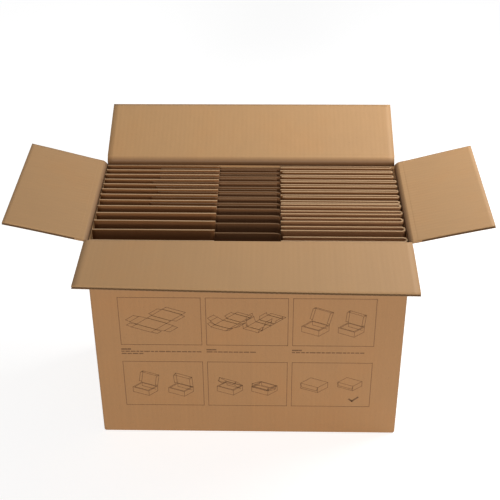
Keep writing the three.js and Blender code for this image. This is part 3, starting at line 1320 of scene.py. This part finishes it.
@dataclass(frozen=True)
class Studio:
    """White floor, even light and the camera at the viewing angle.

    The camera looks from a yaw and an elevation at a point over the box's middle.
    """

    yaw_deg: float = 1.24
    elevation_deg: float = 34.2
    roll_deg: float = -0.31
    target: Colour = (0.0007, 0.0, 0.3057)
    distance: float = 1.8496
    lens: float = 76.752
    floor_reach: float = 30.0
    floor_grey: float = 0.92
    shadow_grey: float = 0.62
    floor_glow: float = 0.75
    world_strength: float = 0.22
    key_power: float = 14.4
    key_size: float = 0.8
    key_place: Colour = (0.85, 0.40, 1.30)
    front_power: float = 1.70
    front_spread_deg: float = 14.0
    front_place: Colour = (-0.1, -3.0, 0.95)

    def camera(self) -> None:
        """Set the camera."""
        turn = Matrix.Identity(4)
        turns = ((self.yaw_deg, "Z"), (90.0 - self.elevation_deg, "X"), (self.roll_deg, "Z"))
        for angle_deg, axis in turns:
            turn = turn @ Matrix.Rotation(math.radians(angle_deg), 4, axis)
        data = bpy.data.cameras.new("camera")
        data.lens = self.lens
        data.clip_end = 100.0
        made = linked("camera", data)
        place = Vector(self.target) + turn.col[2].xyz * self.distance
        made.matrix_world = Matrix.Translation(place) @ turn
        bpy.context.scene.camera = made

    def plainly_seen(self, graph: ShaderGraph) -> Shade:
        """Which rays show the background: straight, mirrored or through glass.

        Args:
            graph: the floor's or the world's graph.

        Returns:
            1 for those rays and 0 for others.
        """
        kinds = ("Camera", "Glossy", "Transmission")
        seen = [graph.shade("LightPath", key=f"Is {kind} Ray") for kind in kinds]
        return graph.math("ADD", seen[0] + seen[1], seen[2], clamp=True)

    def floor(self) -> None:
        """Lay the floor: white to the eye apart from the object's shadow, plain to the light."""
        size = self.floor_reach
        mesh = bpy.data.meshes.new("floor")
        corners = [(-size, -size, 0), (size, -size, 0), (size, size, 0), (-size, size, 0)]
        mesh.from_pydata(corners, [], [(0, 1, 2, 3)])
        graph = ShaderGraph.named("white_floor")
        plain, half = (
            graph.shade("BsdfDiffuse", {"Color": rgba((grey, grey, grey))})
            for grey in (self.floor_grey, self.shadow_grey)
        )
        glow = graph.shade("Emission", {"Strength": self.floor_glow})
        lit = graph.shade("AddShader", {0: half, 1: glow})
        seen = graph.shade("MixShader", {0: self.plainly_seen(graph), 1: plain, 2: lit})
        mesh.materials.append(graph.close(seen))
        made = linked("floor", mesh)

    def lamp(self, name: str, kind: str, settings: dict[str, float], place: Colour) -> None:
        """Add a lamp that looks at the box's mouth.

        Args:
            name: its name.
            kind: its type.
            settings: its properties.
            place: where it stands.
        """
        data = bpy.data.lights.new(name, kind)
        for key, value in settings.items():
            setattr(data, key, value)
        made = linked(name, data)
        look = Vector(place) - Vector(self.target)
        made.location = place
        made.rotation_euler = look.to_track_quat("Z", "Y").to_euler()

    def light(self) -> None:
        """Add the world's even light, a soft box above on the right and a low front light."""
        graph = ShaderGraph(bpy.data.worlds.new("studio"))
        inputs = {"Value": self.plainly_seen(graph), "To Min": self.world_strength}
        strength = graph.shade("MapRange", inputs)
        sky = graph.shade("Background", {"Color": rgba(EVEN), "Strength": strength})
        graph.node("OutputWorld", {"Surface": sky})
        bpy.context.scene.world = graph.owner
        key = {"energy": self.key_power, "size": self.key_size}
        self.lamp("key", "AREA", key, self.key_place)
        front = {"energy": self.front_power, "angle": math.radians(self.front_spread_deg)}
        self.lamp("front", "SUN", front, self.front_place)


# Finishes

INNER_KRAFT = (0.455, 0.258, 0.110)
OUTER_KRAFT = (0.392, 0.198, 0.075)
# Colour of the painted shade in the creases.
CREASE_SHADE_KRAFT = (0.085, 0.032, 0.008)
MAILER_KRAFT = (0.225, 0.095, 0.034)
BASE_KRAFT = (0.320, 0.155, 0.068)
# Painted shade on the set-in spines and inner leaves.
SPINE_SHADE_KRAFT = (0.185, 0.083, 0.034)
# Painted shade on the edges of the set-in panels.
RECESS_SHADE_EDGE = (0.215, 0.122, 0.062)
EDGE_KRAFT = (0.520, 0.335, 0.185)
# The flaps' cut edge: its own colour, darkened further by painted shade.
BOARD_EDGE_AND_SHADE = (0.330, 0.200, 0.105)
# Painted shade inside the flutes' hollows.
HOLLOW_SHADE_KRAFT = (0.200, 0.110, 0.050)
INK_BROWN = (0.175, 0.090, 0.045)
TAPE_TAN = (0.430, 0.270, 0.130)
MAILER_SPECULAR = 0.1
# Painted shade on the mailers below the top of the pack.
MAILER_DEPTH_SHADE = 0.35
# Painted shade of the flutes' openings on the mailers' edges.
MAILER_HOLE_SHADE = 0.08

BLANKS_SEED = 7
PRINT_SEED = 11
CAPTIONS = ((0.98, 0.26), (0.60,), (0.88,), (), (), ())


def build_flaps() -> None:
    """Build the four top flaps and their creases."""
    # The flaps' cut edges: their own colour, darkened further by painted shade.
    edge = CutEdge("board_cut_edge_and_shade", BOARD_EDGE_AND_SHADE, FLUTE_PITCH, 0.0).material()
    # The insides of the flutes are painted dark: painted shade of the hollows.
    hollow = CutEdge("board_hollow_shade", HOLLOW_SHADE_KRAFT, FLUTE_PITCH, 0.0).material()
    front = FlapFrame("front_flap", (0.0, -1.0, 0.0))
    back = FlapFrame("back_flap", (0.0, 1.0, 0.0))
    left = FlapFrame("left_flap", (-1.0, 0.0, 0.0))
    right = FlapFrame("right_flap", (1.0, 0.0, 0.0))
    flaps = [
        TopFlap(front, Flutes.Y, 4.4 * MM, twist_deg=2.0, lean=-4.6 * MM, side_bow=-1.2 * MM),
        TopFlap(back, Flutes.Y, 4.4 * MM, twist_deg=0.3, lean=-0.7 * MM),
        TopFlap(left, Flutes.X, 3.0 * MM, twist_deg=0.6, bow=1.3 * MM),
        TopFlap(right, Flutes.X, 3.0 * MM, twist_deg=-0.8, bow=1.5 * MM),
    ]
    for flutes in (Flutes.X, Flutes.Y):
        tag = flutes.name.lower()
        inner = KraftLiner(f"inner_kraft_{tag}", INNER_KRAFT, flutes).material()
        outer = KraftLiner(f"outer_kraft_{tag}", OUTER_KRAFT, flutes).material()
        # The creases' inner facing, darkened by painted shade where the fold value is high.
        fold = KraftLiner(f"crease_shade_kraft_{tag}", INNER_KRAFT, flutes, crease_shade_colour=CREASE_SHADE_KRAFT).material()
        for flap in (f for f in flaps if f.flutes is flutes):
            board = flap.board([inner, outer, edge, hollow])
            crease = flap.crease([fold, outer])
            LOG.info("%s and %s", board.name, crease.name)


def build_blanks() -> None:
    """Build the mailer blanks."""
    pitch = MAILER_FLUTE_PITCH
    # The mailers' faces get painted shade below the top of the pack.
    like = {"flutes": Flutes.Z, "pitch": pitch, "specular": MAILER_SPECULAR, "depth_shade": MAILER_DEPTH_SHADE}
    face = KraftLiner("mailer_kraft", MAILER_KRAFT, **like).material()
    base = KraftLiner("mailer_base", BASE_KRAFT, **like).material()
    edge = CutEdge("mailer_cut_edge", EDGE_KRAFT, pitch, MAILER_HOLE_SHADE).material()
    # The set-in panels' edges, darkened by painted shade.
    recess_shade = CutEdge("mailer_edge_recess_shade", RECESS_SHADE_EDGE, pitch, MAILER_HOLE_SHADE).material()
    # The set-in spines and inner leaves, darkened by painted shade.
    spine = KraftLiner("mailer_spine_shade", SPINE_SHADE_KRAFT, **like).material()
    rng = np.random.default_rng(BLANKS_SEED)
    numbers = [n for n in frame["nodes"] if n.startswith("mailer_")]
    for number in range(1, len(numbers) + 1):
        piece = MailerBlank(number, rng).piece([face, base, edge, spine, recess_shade])
        LOG.info("%s", piece.name)


def build_print() -> None:
    """Build the print on the front wall."""
    ink = PrintInk("brown_ink_print", INK_BROWN, OUTER_KRAFT).material()
    rng = np.random.default_rng(PRINT_SEED)
    for index, picture in enumerate(step_pictures()):
        piece = PrintedStep(index + 1, picture, CAPTIONS[index], rng).piece(ink)
        LOG.info("%s", piece.name)


def dress_nodes() -> None:
    """Give the kept nodes their finishes."""
    body = KraftLiner("carton_kraft", OUTER_KRAFT, Flutes.Z, inner=INNER_KRAFT).material()
    tape = TapeFilm("tan_tape", TAPE_TAN).material()
    corners = CornerFolds().piece(body)
    LOG.info("%s", corners.name)
    for name, material in (("carton_body", body), ("bottom_tape", tape)):
        node = frame["nodes"][name]
        node.data.materials.clear()
        node.data.materials.append(material)
        LOG.info("%s dressed", name)


def main() -> None:
    """Build the box's looks in order."""
    logging.basicConfig(level=logging.INFO)
    bpy.context.scene.view_settings.view_transform = "Standard"
    studio = Studio()
    studio.camera()
    studio.floor()
    studio.light()
    build_flaps()
    build_blanks()
    build_print()
    dress_nodes()


if __name__ == "__main__":
    main()
